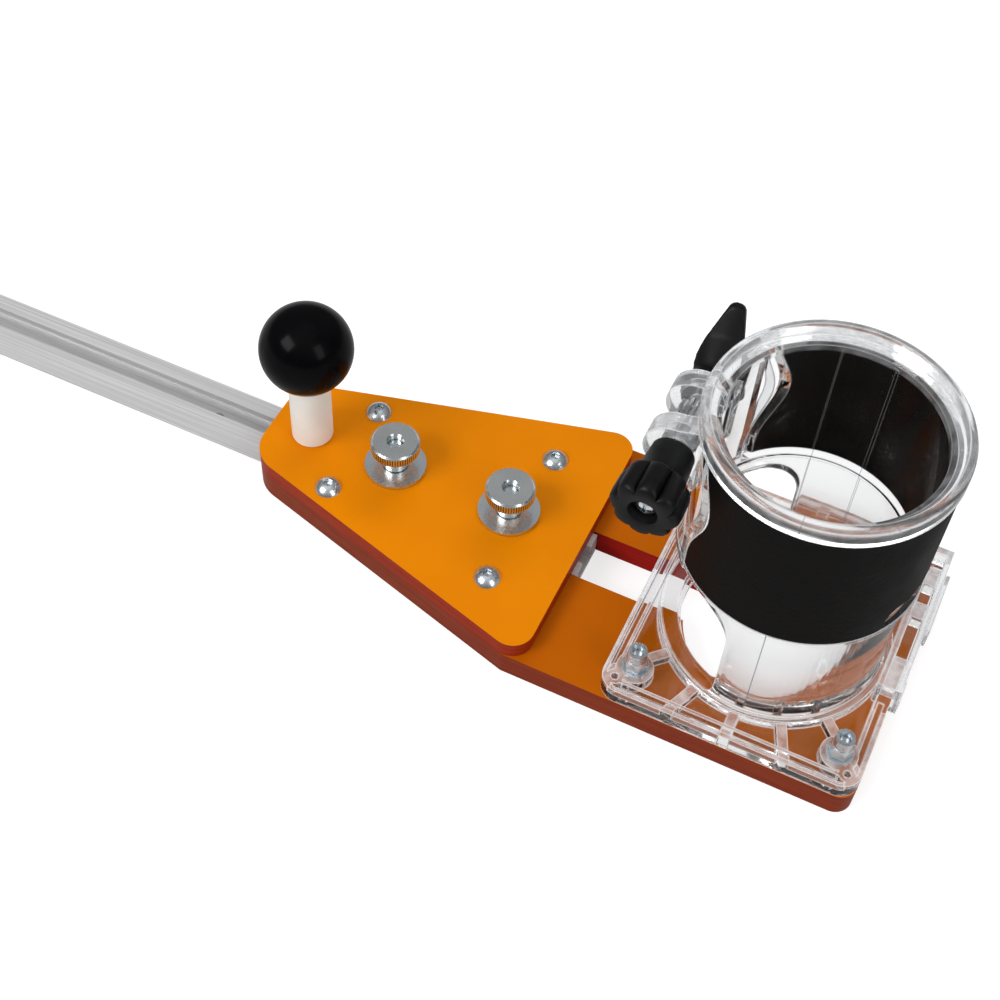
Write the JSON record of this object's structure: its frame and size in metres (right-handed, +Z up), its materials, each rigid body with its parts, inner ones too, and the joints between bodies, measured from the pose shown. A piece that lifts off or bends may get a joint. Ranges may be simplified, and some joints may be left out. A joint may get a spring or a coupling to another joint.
{
  "type": "router circle cutting jig",
  "caption": "Circle cutting jig that clamps a trim router on a laminate carriage, which is set along a T-track rail and swings about a pivot pin at the rail's far end.",
  "frame": {"origin": "router axis at the sole's underside, the lower end of the bit opening", "axes": "+Z up along the router axis, -X along the rail towards the pivot, +Y across the rail on the wing nut's side"},
  "size_m": [0.5154, 0.0988, 0.121],
  "materials": {
    "laminate_top": "satin orange laminate with a red-brown core",
    "laminate_sole": "satin orange laminate with a red-brown core",
    "rail_alloy": "mill finish extrusion",
    "zinc": "bright zinc plate",
    "steel": "turned steel",
    "black_gloss": "polished phenolic",
    "black_matt": "moulded, fine grain",
    "nylon": "turned nylon",
    "brass": "turned",
    "clear": "clear polycarbonate moulding",
    "rubber": "soft moulded rubber"
  },
  "bodies": {
    "jig_body": {"lower_plate": "laminate_sole", "upper_plate": "laminate_top", "plate_screws": "zinc", "t_bolt_tail": "zinc", "t_bolt_router": "zinc", "lock_washer_tail": "zinc", "lock_washer_router": "zinc", "knob_bolt": "zinc", "knob_spacer": "nylon", "ball_knob": "black_gloss", "knob_insert": "brass", "router_base": "clear", "base_barrel": "clear", "clamp_lugs": "clear", "grip_sleeve": "rubber", "clamp_washer": "zinc", "base_screws": "zinc", "base_nuts": "zinc"},
    "rail": {"rail": "rail_alloy"},
    "pivot_pin": {"pivot_pin": "steel"},
    "thumb_nut_tail": {"thumb_nut_tail": "zinc"},
    "thumb_nut_router": {"thumb_nut_router": "zinc"},
    "depth_drive": {"pinion_shaft": "steel", "depth_knob": "black_matt", "knob_screw": "zinc"},
    "wing_nut": {"wing_nut": "black_matt"}
  },
  "joints": [
    {"name": "rail_slide", "type": "slide", "parent": "jig_body", "child": "rail", "axis": [1, 0, 0], "range_m": [-0.02, 0.036]},
    {"name": "pin_plunge", "type": "slide", "parent": "rail", "child": "pivot_pin", "axis": [0, 0, -1], "range_m": [0, 0.006]},
    {"name": "thumb_nut_tail_turn", "type": "hinge", "parent": "jig_body", "child": "thumb_nut_tail", "pos_m": [-0.1415, 0, 0.022], "axis": [0, 0, 1], "continuous": true},
    {"name": "thumb_nut_router_turn", "type": "hinge", "parent": "jig_body", "child": "thumb_nut_router", "pos_m": [-0.0977, 0, 0.022], "axis": [0, 0, 1], "continuous": true},
    {"name": "depth_knob_turn", "type": "hinge", "parent": "jig_body", "child": "depth_drive", "pos_m": [-0.042, 0, 0.096], "axis": [0, -1, 0], "continuous": true},
    {"name": "wing_nut_turn", "type": "hinge", "parent": "jig_body", "child": "wing_nut", "pos_m": [-0.042, 0.02, 0.096], "axis": [0, 1, 0], "continuous": true}
  ]
}
